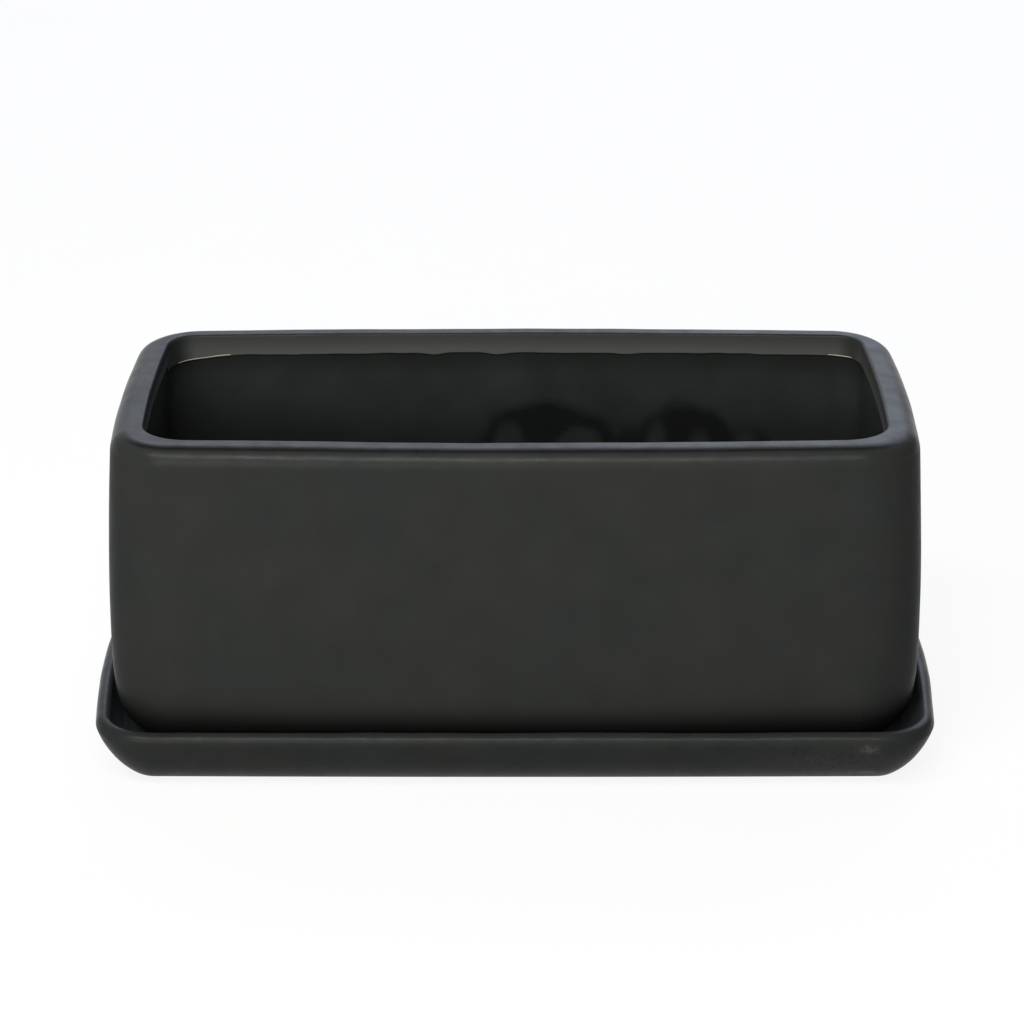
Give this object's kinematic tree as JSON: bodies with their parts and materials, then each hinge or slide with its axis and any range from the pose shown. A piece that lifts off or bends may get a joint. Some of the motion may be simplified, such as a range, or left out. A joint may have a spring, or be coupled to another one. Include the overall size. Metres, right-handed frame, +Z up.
{
  "type": "rectangular planter with saucer",
  "caption": "Rectangular ceramic herb planter with rounded corners, a thick rounded rim and drain holes, standing in a matching flared saucer.",
  "frame": {"origin": "middle of the surface that the planter stands on, under the centre of the saucer", "axes": "+X along the length, +Y towards the back, +Z up"},
  "size_m": [0.2726, 0.1432, 0.1118],
  "materials": {
    "pot_glaze": "matte black glaze outside, gloss black glaze inside",
    "saucer_glaze": "matte black glaze",
    "clear_silicone": "clear, slightly cloudy"
  },
  "bodies": {
    "saucer": {"saucer": "saucer_glaze", "foot_pads": "clear_silicone"},
    "pot": {"pot": "pot_glaze"}
  },
  "joints": [
    {"name": "pot_lift", "type": "slide", "parent": "saucer", "child": "pot", "axis": [0, 0, 1], "range_m": [0, 0.15]}
  ]
}
